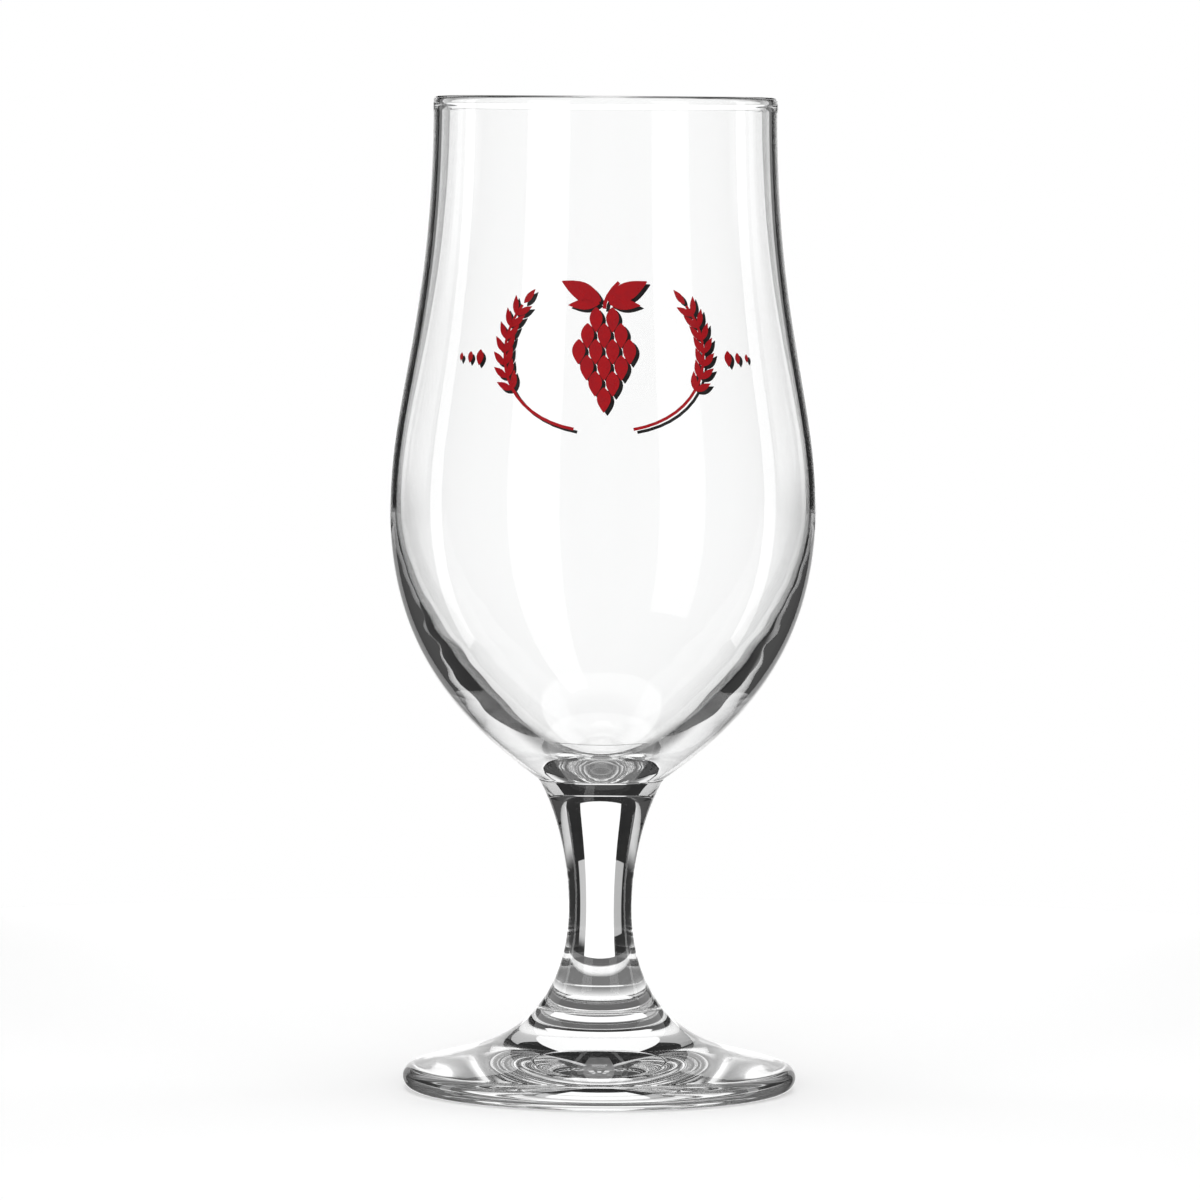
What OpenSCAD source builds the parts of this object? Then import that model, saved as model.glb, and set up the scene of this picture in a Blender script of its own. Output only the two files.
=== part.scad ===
// Tulip beer glass: a blown bowl, a drawn stem and a pressed foot, fused one on the other.
// Millimetres, +Z up. The origin is the centre of the ring that the glass stands on.

/* [Bowl] */
// Height of the bowl, from its seam with the stem to the top of the lip
bowl_h = 137.3; // [115:0.1:165]
// Outside diameter at the lip
rim_d = 69.2; // [58:0.1:80]
// Outside diameter at the widest place
belly_d = 85.8; // [74:0.1:98]
// Height of the widest place above the seam
belly_h = 55; // [44:0.1:66]
// Thickness of the fire-polished lip, which is rounded right over
lip_t = 2.1; // [1.9:0.1:2.8]
// Height over which the lip thickens inwards
bead_h = 2; // [1.5:0.1:5]
// Wall just below the lip
rim_wall = 1.9; // [1.4:0.1:2.1]
// Wall at the widest place
belly_wall = 1.3; // [1:0.1:2.4]
// Glass under the lowest place inside
floor_t = 2.2; // [1.6:0.1:5]
// Slope of the bowl's underside where it meets the stem, in degrees from level
bowl_slope = 36; // [28:1:44]

/* [Stem] */
// Height of the stem between its two seams
stem_h = 46; // [38:0.1:60]
// Diameter of the seam between the bowl and the stem
bowl_seam_d = 25.3; // [21:0.1:30]
// Diameter at the waist
waist_d = 12.7; // [10:0.1:16]
// Height of the waist above the lower seam
waist_h = 20.3; // [16:0.1:25]
// Slope of the stem under the bowl, in degrees from level
neck_slope = 59; // [50:1:70]

/* [Foot] */
// Height of the foot, up to its seam with the stem
foot_h = 16.7; // [13:0.1:21]
// Diameter of the seam between the stem and the foot
foot_seam_d = 24.9; // [21:0.1:30]
// Outside diameter
foot_d = 79.5; // [68:0.1:92]
// Thickness of the rounded edge
edge_h = 4.9; // [3.6:0.1:6.4]
// Width of the flat ring that the glass stands on
ring_w = 2.4; // [1.6:0.1:4]
// Height of the hollow under the middle of the foot
hollow_h = 2.4; // [1.4:0.1:4]
// Slope of the flare at the seam with the stem, in degrees from level
flare_slope = 51; // [44:1:58]
// Slope of the foot's top where it runs into the edge, in degrees from level
edge_slope = 19; // [14:1:24]
// Slope of the hollow where it leaves the ring, in degrees from level
hollow_slope = 6; // [4:1:8]

/* [Hidden] */
$fn = 160;

// Straight steps in each free curve and in each round edge
curve_steps = 32;
arc_steps = 16;

// Radii
rim_r = rim_d / 2;
lip_r = lip_t / 2;
belly_r = belly_d / 2;
bowl_seam_r = bowl_seam_d / 2;
waist_r = waist_d / 2;
foot_seam_r = foot_seam_d / 2;
foot_r = foot_d / 2;
edge_r = edge_h / 2;

// Heights above the surface that the glass stands on
foot_seam_z = foot_h;
waist_z = foot_seam_z + waist_h;
bowl_seam_z = foot_seam_z + stem_h;
floor_z = bowl_seam_z + floor_t;
belly_z = bowl_seam_z + belly_h;
lip_z = bowl_seam_z + bowl_h - lip_r;
bead_z = lip_z - bead_h;

// How far each curve's two end tangents reach, as shares of the height or width that it spans
underside_shares = [0.38, 0.51];
shoulder_shares = [0.27, 0.54];
bead_shares = [0.5, 0.35];
inside_shares = [0.16, 0.65];
neck_shares = [0.28, 0.35];
flare_shares = [0.41, 0.27];
foot_top_shares = [0.37, 0.45];
hollow_shares = [0.3, 0.45];

// A step of a given length at an angle from level
function step(angle, reach) = reach * [cos(angle), sin(angle)];

// Point at share t of the curve that leaves a towards b and reaches d from c
function curve_point(a, b, c, d, t) =
    pow(1 - t, 3) * a + 3 * t * pow(1 - t, 2) * b + 3 * t * t * (1 - t) * c + t * t * t * d;

// Points of that curve, and of an arc, without the last one, which starts what follows
function curve(a, b, c, d) =
    [for (i = [0 : curve_steps - 1]) curve_point(a, b, c, d, i / curve_steps)];
function arc(centre, r, from, to) =
    [for (i = [0 : arc_steps - 1]) centre + step(from + (to - from) * i / arc_steps, r)];

function backwards(points) = [for (i = [len(points) - 1 : -1 : 0]) points[i]];
function below(z, points) = [for (p = points) if (p.y < z) p];

// The wall from the widest place up to the lip, at given depths from the outside of both
function shoulder(belly_depth, rim_depth) =
    let (rise = lip_z - belly_z)
    let (low = [belly_r - belly_depth, belly_z])
    let (high = [rim_r - rim_depth, lip_z])
    curve(low, low + step(90, shoulder_shares[0] * rise),
        high - step(90, shoulder_shares[1] * rise), high);

// The outside below the widest place, from the seam up
function underside() =
    let (low = [bowl_seam_r, bowl_seam_z])
    let (high = [belly_r, belly_z])
    curve(low, low + step(bowl_slope, underside_shares[0] * belly_h),
        high - step(90, underside_shares[1] * belly_h), high);

// The inside below the widest place, from the middle of the floor up
function inside() =
    let (low = [0, floor_z])
    let (high = [belly_r - belly_wall, belly_z])
    curve(low, low + step(0, inside_shares[0] * high.x),
        high - step(90, inside_shares[1] * (belly_z - floor_z)), high);

// The inside of the lip, from where it starts to thicken
function bead() =
    let (low = [rim_r - rim_wall, bead_z])
    let (high = [rim_r - lip_t, lip_z])
    curve(low, low + step(90, bead_shares[0] * bead_h),
        high - step(90, bead_shares[1] * bead_h), high);

function bowl_outline() = concat(
    [[0, bowl_seam_z]],
    underside(),
    shoulder(0, 0),
    arc([rim_r - lip_r, lip_z], lip_r, 0, 180),
    [[rim_r - lip_t, lip_z]],
    backwards(bead()),
    backwards(below(bead_z, shoulder(belly_wall, rim_wall))),
    backwards(inside()));

function stem_outline() =
    let (low = [foot_seam_r, foot_seam_z])
    let (waist = [waist_r, waist_z])
    let (high = [bowl_seam_r, bowl_seam_z])
    let (neck_h = bowl_seam_z - waist_z)
    concat(
        [[0, foot_seam_z]],
        curve(low, low + step(180 - flare_slope, flare_shares[0] * waist_h),
            waist - step(90, flare_shares[1] * waist_h), waist),
        curve(waist, waist + step(90, neck_shares[1] * neck_h),
            high - step(neck_slope, neck_shares[0] * neck_h), high),
        [high, [0, bowl_seam_z]]);

function foot_outline() =
    let (edge_centre = [foot_r - edge_r, edge_r])
    let (edge_top = edge_centre + step(90 - edge_slope, edge_r))
    let (ring_in = [foot_r - edge_r - ring_w, 0])
    let (middle = [0, hollow_h])
    let (high = [foot_seam_r, foot_seam_z])
    let (run = edge_top.x - high.x)
    concat(
        curve(middle, middle + step(0, hollow_shares[0] * ring_in.x),
            ring_in + step(180 - hollow_slope, hollow_shares[1] * ring_in.x), ring_in),
        [ring_in],
        arc(edge_centre, edge_r, -90, 90 - edge_slope),
        curve(edge_top, edge_top + step(180 - edge_slope, foot_top_shares[0] * run),
            high + step(-flare_slope, foot_top_shares[1] * run), high),
        [high, [0, foot_seam_z]]);

module revolve(outline) {
    rotate_extrude() polygon(outline);
}

module bowl() {
    color([0.88, 0.92, 0.92, 0.45]) revolve(bowl_outline());
}

module stem() {
    color([0.78, 0.84, 0.85, 0.6]) revolve(stem_outline());
}

module foot() {
    color([0.82, 0.88, 0.89, 0.55]) revolve(foot_outline());
}

bowl();
stem();
foot();
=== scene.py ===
"""Tulip beer glass: clear glass bowl, stem and foot on a pale floor in a white studio. Metres, +Z up."""
import math
from bisect import bisect

import bmesh
import bpy
from mathutils import Matrix, Vector
from mathutils.kdtree import KDTree


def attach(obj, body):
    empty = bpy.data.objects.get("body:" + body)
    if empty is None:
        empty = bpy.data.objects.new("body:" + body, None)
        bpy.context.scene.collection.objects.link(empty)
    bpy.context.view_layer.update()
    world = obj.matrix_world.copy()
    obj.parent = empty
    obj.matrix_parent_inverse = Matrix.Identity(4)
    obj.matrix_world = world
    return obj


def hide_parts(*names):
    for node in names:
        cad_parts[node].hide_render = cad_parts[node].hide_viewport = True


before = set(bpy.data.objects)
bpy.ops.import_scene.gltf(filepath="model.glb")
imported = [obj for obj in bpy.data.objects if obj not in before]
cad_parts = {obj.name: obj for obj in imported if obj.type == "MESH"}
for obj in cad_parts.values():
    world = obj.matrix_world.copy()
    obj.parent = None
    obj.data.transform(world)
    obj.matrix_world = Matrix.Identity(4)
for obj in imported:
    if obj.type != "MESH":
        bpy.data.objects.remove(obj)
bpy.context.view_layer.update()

MM = 0.001
WHITE = (1, 1, 1)
light_bounces = 32  # enough to pass every wall of the glass
scene = bpy.context.scene


def add_object(name, data):
    obj = bpy.data.objects.new(name, data)
    scene.collection.objects.link(obj)
    return obj


def add_mesh(name, bm, *materials):
    mesh = bpy.data.meshes.new(name)
    bm.to_mesh(mesh)
    bm.free()
    for material in materials:
        mesh.materials.append(material)
    return add_object(name, mesh)


# Camera: a long lens, a little above the lip and looking slightly down
camera_distance = 1650 * MM
camera_height = 204.9 * MM
camera_side = -0.47 * MM
camera_pitch = math.radians(3.68)
camera_roll = math.radians(0.383)
camera_lens = 246.35  # on a sensor 36 mm wide
farthest_seen = 20


def add_camera():
    data = bpy.data.cameras.new("camera")
    data.lens = camera_lens
    data.clip_end = farthest_seen
    camera = add_object("camera", data)
    tilt = Matrix.Rotation(math.radians(90) - camera_pitch, 3, "X")
    roll = Matrix.Rotation(camera_roll, 3, "Z")
    camera.rotation_euler = (tilt @ roll).to_euler()
    camera.location = (camera_side, -camera_distance, camera_height)
    scene.camera = camera
    return camera


# Materials: all of them are made of nodes, in each piece's own coordinates
usual_noise = (0.3, 0.7)  # where most values of a noise lie
glass_tint = (0.994, 0.997, 0.996)
enamel_roughness = (0.22, 0.38)


def new_material(name):
    material = bpy.data.materials.new(name)
    material.use_nodes = True
    return material, material.node_tree, material.node_tree.nodes["Principled BSDF"]


def noise(tree, place, scale, detail):
    """Smooth random values over the piece."""
    node = tree.nodes.new("ShaderNodeTexNoise")
    node.inputs["Scale"].default_value = scale
    node.inputs["Detail"].default_value = detail
    tree.links.new(place.outputs["Object"], node.inputs["Vector"])
    return node.outputs["Fac"]


def ranged(tree, value, span, levels):
    """Values that go smoothly from one level to another while the given value crosses a span."""
    node = tree.nodes.new("ShaderNodeMapRange")
    node.interpolation_type = "SMOOTHSTEP"
    for socket, number in zip(("From Min", "From Max", "To Min", "To Max"), (*span, *levels)):
        node.inputs[socket].default_value = number
    tree.links.new(value, node.inputs["Value"])
    return node.outputs["Result"]


def mixed(tree, share, first, second):
    """Colours between two, by a share."""
    node = tree.nodes.new("ShaderNodeValToRGB")
    node.color_ramp.elements[0].color = (*first, 1)
    node.color_ramp.elements[1].color = (*second, 1)
    tree.links.new(share, node.inputs["Fac"])
    return node.outputs["Color"]


def add_bump(tree, shader, height, strength, distance):
    node = tree.nodes.new("ShaderNodeBump")
    node.inputs["Strength"].default_value = strength
    node.inputs["Distance"].default_value = distance
    tree.links.new(height, node.inputs["Height"])
    tree.links.new(node.outputs["Normal"], shader.inputs["Normal"])


def clear_glass():
    """Soda-lime glass, with a trace of green drawn out in it and a surface that waves very slightly."""
    material, tree, shader = new_material("clear glass")
    shader.inputs["Transmission Weight"].default_value = 1
    shader.inputs["IOR"].default_value = 1.51
    shader.inputs["Roughness"].default_value = 0
    place = tree.nodes.new("ShaderNodeTexCoord")
    tint = mixed(tree, noise(tree, place, scale=40, detail=2), WHITE, glass_tint)
    tree.links.new(tint, shader.inputs["Base Color"])
    add_bump(tree, shader, noise(tree, place, scale=110, detail=1), strength=1, distance=0.004 * MM)
    return material


def fused_seam():
    """Where two pieces of glass are fused there is no surface to see."""
    material, _, shader = new_material("fused seam")
    shader.inputs["Alpha"].default_value = 0
    return material


def enamel_paint(name, thin, full):
    """Screen-printed enamel, fired to a gloss: the ink lies unevenly, with a fine grain."""
    material, tree, shader = new_material(name)
    place = tree.nodes.new("ShaderNodeTexCoord")
    ink = ranged(tree, noise(tree, place, scale=700, detail=4), usual_noise, (0, 1))
    tree.links.new(mixed(tree, ink, thin, full), shader.inputs["Base Color"])
    gloss = ranged(tree, noise(tree, place, scale=300, detail=3), usual_noise, enamel_roughness)
    tree.links.new(gloss, shader.inputs["Roughness"])
    shader.inputs["Specular IOR Level"].default_value = 0.15
    add_bump(tree, shader, noise(tree, place, scale=2200, detail=2), strength=0.15, distance=0.02 * MM)
    return material


# Glass: turned meshes that follow the outlines of the CAD nodes
same_ring = 0.005 * MM  # points this near in radius and height are on one ring
longest_step = 0.6 * MM  # from ring to ring
turn_steps = 256

# Waves on the inside of the bowl below the belly, as blown glass has. Each has a length up the wall, in
# millimetres, and a bend, which carries it up and down round the bowl.
wave_reach = 0.012 * MM
slow_length = 8.3
slow_bend = 0.8
quick_length = 5.1
quick_bend = 0.9
quick_share = 0.5


def outline(node):
    """Radius and height of a turned node's rings, in order along its outline."""
    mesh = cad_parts[node].data
    places = [Vector((math.hypot(v.co.x, v.co.y), v.co.z, 0)) for v in mesh.vertices]
    tree = KDTree(len(places))
    for i, place in enumerate(places):
        tree.insert(place, i)
    tree.balance()
    rings = []
    ring_of = {}
    for i, place in enumerate(places):
        if i not in ring_of:
            for _, near, _ in tree.find_range(place, same_ring):
                ring_of[near] = len(rings)
            rings.append(place.xy)
    beside = [set() for _ in rings]
    for a, b in mesh.edge_keys:
        a, b = ring_of[a], ring_of[b]
        if a != b:
            beside[a].add(b)
            beside[b].add(a)
    at = next(i for i, near in enumerate(beside) if len(near) == 1)
    order = [at]
    while beside[at] - set(order[-2:]):
        at = (beside[at] - set(order[-2:])).pop()
        order.append(at)
    return [rings[i] for i in order]


def smooth(points):
    """The same outline with rings at most longest_step apart, on a curve through its points."""
    steps = [(b - a).length for a, b in zip(points, points[1:])]
    slopes = [(b - a) / step for a, b, step in zip(points, points[1:], steps)]
    tangents = [slopes[0]]
    for i in range(1, len(slopes)):
        before, after = steps[i - 1], steps[i]
        tangents.append((slopes[i - 1] * after + slopes[i] * before) / (before + after))
    tangents.append(slopes[-1])
    made = []
    for i, step in enumerate(steps):
        pieces = math.ceil(step / longest_step)
        for k in range(pieces):
            t = k / pieces
            made.append(
                points[i] * (1 + 2 * t) * (1 - t) ** 2
                + points[i + 1] * t * t * (3 - 2 * t)
                + (tangents[i] * t * (1 - t) ** 2 - tangents[i + 1] * t * t * (1 - t)) * step
            )
    return made + [points[-1]]


def waves(points):
    """How far the inner wall stands out of round, by ring and angle."""
    top = max(range(len(points)), key=lambda i: points[i].y)
    halves = (range(top), range(top, len(points)))
    inner = min(halves, key=lambda half: max(points[i].x for i in half))
    low = min(points[i].y for i in inner)
    high = max((points[i] for i in inner), key=lambda p: p.x).y

    def wave(i, angle):
        share = (points[i].y - low) / (high - low)
        if i not in inner or not 0 < share < 1:
            return 0
        height = points[i].y / MM
        reach = wave_reach * math.sin(math.pi * share) ** 2
        slow = math.sin(math.tau * height / slow_length + slow_bend * math.sin(2 * angle + 1))
        quick = math.sin(math.tau * height / quick_length + quick_bend * math.cos(3 * angle))
        return reach * (slow + quick_share * quick)

    return wave


def no_wave(i, angle):
    return 0


def turned(name, points, materials, wave):
    """A closed mesh turned from an outline. Its flat ends take the second material."""
    bm = bmesh.new()
    rings = []
    angles = [math.tau * k / turn_steps for k in range(turn_steps)]
    for i, (radius, height) in enumerate(points):
        if radius < same_ring:
            rings.append([bm.verts.new((0, 0, height))])
            continue
        ring = []
        for a in angles:
            r = radius + wave(i, a)
            ring.append(bm.verts.new((r * math.cos(a), r * math.sin(a), height)))
        rings.append(ring)
    for low, high in zip(rings, rings[1:]):
        for k in range(turn_steps):
            corners = [low[i % len(low)] for i in (k, k + 1)]
            corners += [high[i % len(high)] for i in (k + 1, k)]
            bm.faces.new(dict.fromkeys(corners))
    for ring in (rings[0], rings[-1]):
        if len(ring) > 1:
            bm.faces.new(ring).material_index = 1
    bmesh.ops.recalc_face_normals(bm, faces=bm.faces)
    for face in bm.faces:
        face.smooth = face.material_index == 0
    return add_mesh(name, bm, *materials)


def add_glass():
    materials = (clear_glass(), fused_seam())
    for node in ("bowl", "stem", "foot"):
        points = smooth(outline(node))
        wave = waves(points) if node == "bowl" else no_wave
        piece = turned("glass_" + node, points, materials, wave)
        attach(piece, "root")
        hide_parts(node)


# Print: an ornament of a hop cone between two ears of barley, drawn flat in millimetres and laid round the
# bowl. It is printed in red over a black copy that shows past its right and lower edges.
print_share = 0.63  # height of its middle on the bowl, from the seam up
print_size = 1.08  # how much larger it is than drawn
shadow_shift = Vector((0.65, -0.55))
black_faces = (0.01 * MM, 0.03 * MM)  # above the wall
red_faces = (0.035 * MM, 0.055 * MM)
black_inks = ((0.02, 0.019, 0.019), (0.01, 0.009, 0.009))  # where thin and where full
red_inks = ((0.33, 0.009, 0.014), (0.38, 0.008, 0.012))
across_shares = (0, 0.25, 0.5, 0.75, 1)

# A leaf, whose two tips are cut off a little
leaf_steps = 12
leaf_tip = 0.02
leaf_fullness = 0.85  # under 1, it is fuller near its start

# The hop cone: rows of scales, and a bent stalk and leaves (start, end and width) above them
cone_rows = (2, 3, 4, 3, 2, 1)
cone_top = 6.6
row_gap = 2.9
scale_gap = 3.1
scale_length = 4.7
scale_width = 2.45
cone_stalk_foot = 8.6
cone_stalk_step = 1.2
cone_stalk_bend = 0.175
cone_stalk_width = 0.7
cone_stalk_steps = 4
cone_leaves = (((0.5, 10), (8.4, 13.6), 3.4), ((0.8, 9.6), (7, 9.2), 2))

# An ear of barley: grains in pairs along an arched stalk, and one at its tip
arch_middle = Vector((1.5, 1))
arch_reach = Vector((17.5, 14.5))
arch_start = -78
arch_turn = 112
stalk_steps = 16
stalk_width = 0.55
grain_places = 8
first_grain = 0.42  # share of the stalk
grain_gap = 0.083
grain_angle = 32
grain_ends = (0.35, 3.85)
grain_width = 1.25
nearby = 0.01  # share of the stalk that gives its direction

# Lozenges on each side, each smaller than the one before
mark_half_heights = (1.5, 1.1, 0.8)
mark_place = Vector((24.4, -0.6))
mark_gap = 2.3
mark_slimness = 1.1  # width over half height


def leaf(start, end, width):
    """Pairs of edge points of a leaf between two points."""
    along = end - start
    side = along.orthogonal().normalized() * width / 2
    pairs = []
    for k in range(leaf_steps + 1):
        t = leaf_tip + (1 - 2 * leaf_tip) * k / leaf_steps
        half = side * math.sin(math.pi * t ** leaf_fullness)
        pairs.append((start + along * t + half, start + along * t - half))
    return pairs


def ribbon(points, width):
    """Pairs of edge points of a line of even width."""
    pairs = []
    for i, point in enumerate(points):
        along = points[min(i + 1, len(points) - 1)] - points[max(i - 1, 0)]
        half = along.orthogonal().normalized() * width / 2
        pairs.append((point + half, point - half))
    return pairs


def hop_cone():
    half_scale = Vector((0, scale_length / 2))
    shapes = []
    for row, count in enumerate(cone_rows):
        for i in range(count):
            middle = Vector((scale_gap * (i - (count - 1) / 2), cone_top - row_gap * row))
            shapes.append(leaf(middle + half_scale, middle - half_scale, scale_width))
    stalk = []
    for k in range(cone_stalk_steps + 1):
        stalk.append(Vector((cone_stalk_bend * k * k, cone_stalk_foot + cone_stalk_step * k)))
    shapes.append(ribbon(stalk, cone_stalk_width))
    for side in (-1, 1):
        for start, end, width in cone_leaves:
            mirror = Vector((side, 1))
            shapes.append(leaf(Vector(start) * mirror, Vector(end) * mirror, width))
    return shapes


def barley_stalk(share, side):
    a = math.radians(arch_start + arch_turn * share)
    place = arch_middle + arch_reach * Vector((math.cos(a), math.sin(a)))
    return place * Vector((side, 1))


def barley_ear(side):
    stalk = [barley_stalk(k / stalk_steps, side) for k in range(stalk_steps + 1)]
    shapes = [ribbon(stalk, stalk_width)]
    for k in range(grain_places):
        share = first_grain + grain_gap * k
        foot = barley_stalk(share, side)
        along = (barley_stalk(share + nearby, side) - foot).normalized()
        turns = (-grain_angle, grain_angle) if k < grain_places - 1 else (0,)
        for turn in turns:
            out = Matrix.Rotation(math.radians(turn), 2) @ along
            start, end = (foot + out * reach for reach in grain_ends)
            shapes.append(leaf(start, end, grain_width))
    return shapes


def side_marks(side):
    shapes = []
    for k, half_height in enumerate(mark_half_heights):
        middle = Vector((side * (mark_place.x + mark_gap * k), mark_place.y))
        half = Vector((0, half_height))
        shapes.append(leaf(middle + half, middle - half, mark_slimness * half_height))
    return shapes


def add_print():
    points = smooth(outline("bowl"))
    top = max(range(len(points)), key=lambda i: points[i].y)
    wall = max((points[:top + 1], points[top:]), key=lambda half: max(p.x for p in half))
    wall = sorted(wall, key=lambda p: p.y)
    heights = [p.y for p in wall]
    middle_z = heights[0] + print_share * (heights[-1] - heights[0])

    def radius(height):
        i = bisect(heights, height)
        low, high = wall[i - 1], wall[i]
        return low.x + (high.x - low.x) * (height - low.y) / (high.y - low.y)

    def on_wall(place, lift):
        a = print_size * place.x * MM / radius(middle_z)
        height = middle_z + print_size * place.y * MM
        r = radius(height) + lift
        return r * math.sin(a), -r * math.cos(a), height

    def face(bm, pairs, shift, lift):
        rows = []
        for a, b in pairs:
            places = [a.lerp(b, share) + shift for share in across_shares]
            rows.append([bm.verts.new(on_wall(place, lift)) for place in places])
        return rows

    def layer(name, shapes, shift, lifts, material):
        bm = bmesh.new()
        for pairs in shapes:
            under, over = (face(bm, pairs, shift, lift) for lift in lifts)
            rows, columns = len(pairs) - 1, len(across_shares) - 1
            for i in range(rows):
                for j in range(columns):
                    for grid in (under, over):
                        bm.faces.new((grid[i][j], grid[i + 1][j], grid[i + 1][j + 1], grid[i][j + 1]))
            edge = [(0, j) for j in range(columns)] + [(i, columns) for i in range(rows)]
            edge += [(rows - i, columns - j) for i, j in edge]
            for (i, j), (k, m) in zip(edge, edge[1:] + edge[:1]):
                bm.faces.new((under[i][j], under[k][m], over[k][m], over[i][j]))
        bmesh.ops.recalc_face_normals(bm, faces=bm.faces)
        piece = add_mesh(name, bm, material)
        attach(piece, "root")

    shapes = hop_cone() + barley_ear(-1) + barley_ear(1) + side_marks(-1) + side_marks(1)
    black = enamel_paint("black enamel", *black_inks)
    red = enamel_paint("red enamel", *red_inks)
    layer("print_black", shapes, shadow_shift, black_faces, black)
    layer("print_red", shapes, Vector((0, 0)), red_faces, red)


# Studio: it hangs on the camera, as for an object on a turntable. The glass shows cards that stand round it,
# which the camera doesn't see. They go from one azimuth to another, in degrees: 0 is behind the glass and 90
# to its right. Heights are from the middle of the glass.
rig_distance = 1653 * MM
card_distance = 400 * MM
card_reach = 900 * MM
card_step = 3
world_level = 0.08

# White backdrop, whose two sides are dimmer low down
backdrop_level = 1.12
backdrop_middle = 5
backdrop_left = -17
backdrop_right = 18
backdrop_top = 185 * MM
backdrop_fade = (-340 * MM, -220 * MM)
left_levels = (0.3, backdrop_level)
right_levels = (0.2, backdrop_level)

# Dim cards beside its lower half, the left one just in front of a flag
dim_top = 12 * MM
dim_left = -30
dim_left_low = -150 * MM
dim_left_level = 0.5
dim_left_gap = 2 * MM
dim_right = 28
dim_right_fade = (-200 * MM, -150 * MM)
dim_right_levels = (0.03, 0.6)

# Dark flags round the backdrop, which give the glass its dark edges
flag_level = 0.02
flag_end = 38

# Pale walls at the sides, dark below
wall_end = 74
wall_fade = (0, 70 * MM)
wall_levels = (0.03, 0.75)

# White cards in front, which only show as reflections
front_top = 300 * MM
front_left = (-158, -130)
front_left_low = -1200 * MM
front_left_level = 1.5
front_right = (126, 151)
front_right_low = -270 * MM
front_right_level = 1.3

# Floor, and the plate that stands for it where it shows through the glass: a glowing sheet with painted
# light in a ring, and painted shadow under the middle and the edge of the foot
disc_steps = 96
floor_radius = 380 * MM
floor_drop = 0.1 * MM
floor_grey = 0.8
plate_radius = 60 * MM
plate_drop = 0.05 * MM
plate_middle = (12 * MM, 29 * MM)
plate_shadow_to_lit_levels = (0.2, 1.15)
plate_edge = (37.5 * MM, 39 * MM)
plate_edge_shadow_shares = (1, 0.12)


def emission(name, level):
    material = bpy.data.materials.new(name)
    material.use_nodes = True
    tree = material.node_tree
    tree.nodes.clear()
    out = tree.nodes.new("ShaderNodeOutputMaterial")
    glow = tree.nodes.new("ShaderNodeEmission")
    glow.inputs["Color"].default_value = (*WHITE, 1)
    glow.inputs["Strength"].default_value = level
    tree.links.new(glow.outputs[0], out.inputs["Surface"])
    return material


def fading(name, heights, levels):
    """Light that changes from one level to another between two heights."""
    material = emission(name, levels[-1])
    tree = material.node_tree
    place = tree.nodes.new("ShaderNodeTexCoord")
    split = tree.nodes.new("ShaderNodeSeparateXYZ")
    tree.links.new(place.outputs["Object"], split.inputs[0])
    fade = ranged(tree, split.outputs["Y"], heights, levels)
    tree.links.new(fade, tree.nodes["Emission"].inputs["Strength"])
    return material


def card(rig, name, start, end, material, low=-card_reach, high=card_reach, distance=card_distance):
    """A tall card bent round the glass from one azimuth to another."""
    steps = max(2, round(abs(end - start) / card_step))
    bm = bmesh.new()
    columns = []
    for k in range(steps + 1):
        a = math.radians(start + (end - start) * k / steps)
        foot = Vector((math.sin(a), 0, -math.cos(a))) * distance
        columns.append([bm.verts.new(foot + Vector((0, y, 0))) for y in (low, high)])
    for a, b in zip(columns, columns[1:]):
        bm.faces.new((a[0], b[0], b[1], a[1]))
    obj = add_mesh(name, bm, material)
    obj.parent = rig
    obj.visible_camera = False
    return obj


def front_card(rig, name, span, low, level):
    obj = card(rig, name, *span, emission(name, level), low, front_top)
    obj.visible_diffuse = False
    obj.visible_transmission = False
    obj.visible_shadow = False


def softbox(rig, name, azimuth, width, height, rise, distance, level):
    """A rectangular lamp of the given brightness that faces the glass and shows as a reflection on it."""
    data = bpy.data.lights.new(name, "AREA")
    data.shape = "RECTANGLE"
    data.size = width
    data.size_y = height
    data.energy = level * math.pi * width * height
    lamp = add_object(name, data)
    lamp.parent = rig
    a = math.radians(azimuth)
    lamp.location = (math.sin(a) * distance, rise, -math.cos(a) * distance)
    back = lamp.location.normalized()
    right = Vector((0, 1, 0)).cross(back).normalized()
    lamp.rotation_euler = Matrix((right, back.cross(right), back)).transposed().to_euler()
    lamp.visible_transmission = False
    return lamp


def add_disc(name, radius, drop, material):
    """A flat round sheet under the glass."""
    bm = bmesh.new()
    bmesh.ops.create_circle(bm, cap_ends=True, radius=radius, segments=disc_steps)
    disc = add_mesh(name, bm, material)
    disc.location.z = -drop
    return disc


def add_floor():
    material, _, shader = new_material("pale floor")
    shader.inputs["Base Color"].default_value = (floor_grey, floor_grey, floor_grey, 1)
    shader.inputs["Roughness"].default_value = 0.7
    shader.inputs["Emission Color"].default_value = (*WHITE, 1)
    shader.inputs["Emission Strength"].default_value = 0.43
    floor = add_disc("floor", floor_radius, floor_drop, material)
    floor.visible_glossy = False
    floor.visible_transmission = False


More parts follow.
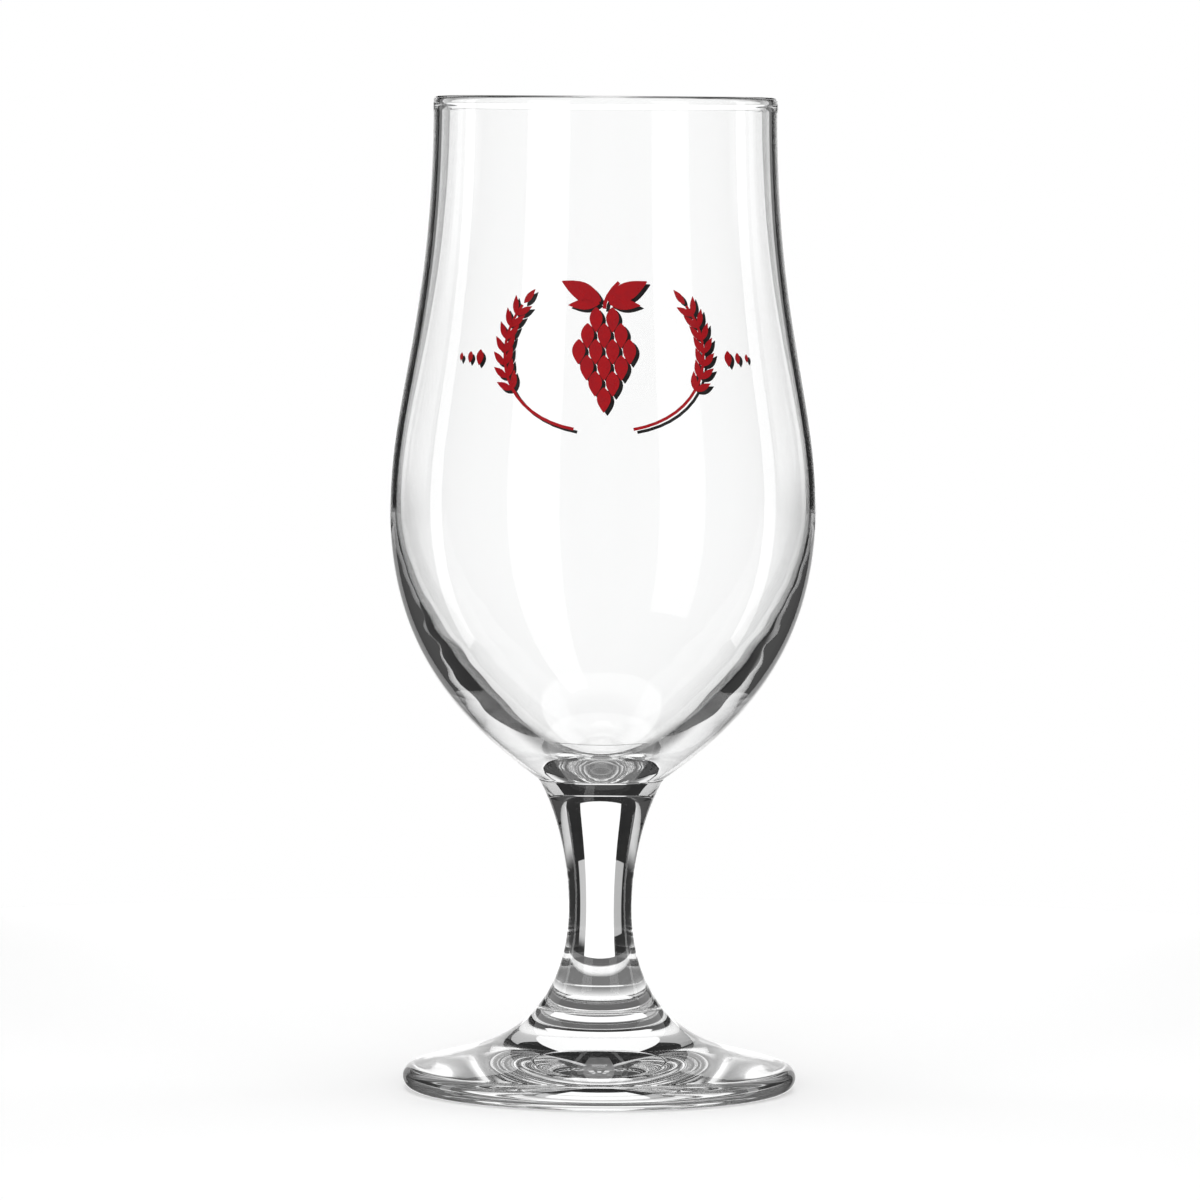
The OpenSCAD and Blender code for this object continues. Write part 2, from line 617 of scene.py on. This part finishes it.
def add_plate():
    # The plate's glow is painted light and painted shadow: dim under the middle of the foot, bright in a
    # ring, and dim again past the foot's edge
    material = emission("plate", 1)
    tree = material.node_tree
    place = tree.nodes.new("ShaderNodeTexCoord")
    far = tree.nodes.new("ShaderNodeVectorMath")
    far.operation = "LENGTH"
    tree.links.new(place.outputs["Object"], far.inputs[0])
    middle = ranged(tree, far.outputs["Value"], plate_middle, plate_shadow_to_lit_levels)
    edge = ranged(tree, far.outputs["Value"], plate_edge, plate_edge_shadow_shares)
    both = tree.nodes.new("ShaderNodeMath")
    both.operation = "MULTIPLY"
    tree.links.new(middle, both.inputs[0])
    tree.links.new(edge, both.inputs[1])
    tree.links.new(both.outputs[0], tree.nodes["Emission"].inputs["Strength"])
    plate = add_disc("plate", plate_radius, plate_drop, material)
    plate.visible_camera = False
    plate.visible_glossy = False
    plate.visible_diffuse = False
    plate.visible_shadow = False


def add_world():
    world = bpy.data.worlds.new("studio")
    scene.world = world
    world.use_nodes = True
    tree = world.node_tree
    back = tree.nodes["Background"]
    back.inputs["Color"].default_value = (*WHITE, 1)
    path = tree.nodes.new("ShaderNodeLightPath")
    mix = tree.nodes.new("ShaderNodeMix")
    mix.inputs["A"].default_value = world_level
    mix.inputs["B"].default_value = 1
    tree.links.new(path.outputs["Is Camera Ray"], mix.inputs["Factor"])
    tree.links.new(mix.outputs["Result"], back.inputs["Strength"])


def add_cards(rig):
    backdrop = emission("backdrop", backdrop_level)
    left_side = fading("backdrop left", backdrop_fade, left_levels)
    right_side = fading("backdrop right", backdrop_fade, right_levels)
    card(rig, "backdrop middle", -backdrop_middle, backdrop_middle, backdrop, high=backdrop_top)
    card(rig, "backdrop left", backdrop_left, -backdrop_middle, left_side, high=backdrop_top)
    card(rig, "backdrop right", backdrop_middle, backdrop_right, right_side, high=backdrop_top)
    dim_edge = fading("dim edge", dim_right_fade, dim_right_levels)
    card(rig, "dim edge", backdrop_right, dim_right, dim_edge, high=dim_top)
    dim = emission("dim left", dim_left_level)
    nearer = card_distance - dim_left_gap
    card(rig, "dim left", backdrop_left, dim_left, dim, dim_left_low, dim_top, nearer)
    black = emission("flag", flag_level)
    card(rig, "flag left", backdrop_left, -flag_end, black)
    card(rig, "flag right", dim_right, flag_end, black)
    card(rig, "flag right above", backdrop_right, dim_right, black, low=dim_top)
    card(rig, "flag above", backdrop_left, backdrop_right, black, low=backdrop_top)
    wall = fading("wall", wall_fade, wall_levels)
    for side in (-1, 1):
        card(rig, "wall", side * flag_end, side * wall_end, wall)
    front_card(rig, "front left", front_left, front_left_low, front_left_level)
    front_card(rig, "front right", front_right, front_right_low, front_right_level)


def add_lamps(rig):
    """Two strips that show at the sides of the glass, and two lamps that light the print and the floor."""
    for side in (-1, 1):
        softbox(rig, "strip", azimuth=side * 80, width=0.15, height=1.2, rise=0, distance=0.9, level=2)
    fills = (
        softbox(rig, "front fill", azimuth=180, width=1.2, height=0.8, rise=0.2, distance=1.3, level=3.7),
        softbox(rig, "top fill", azimuth=180, width=1.0, height=1.0, rise=1.2, distance=0.2, level=2.4),
    )
    for fill in fills:
        fill.visible_glossy = False


def add_studio(camera):
    rig = add_object("rig", None)
    rig.parent = camera
    rig.location = (0, 0, -rig_distance)
    add_world()
    add_floor()
    add_plate()
    add_cards(rig)
    add_lamps(rig)


def main():
    scene.view_settings.view_transform = "Standard"
    scene.cycles.max_bounces = light_bounces
    scene.cycles.glossy_bounces = light_bounces
    scene.cycles.transmission_bounces = light_bounces
    camera = add_camera()
    add_glass()
    add_print()
    add_studio(camera)


main()
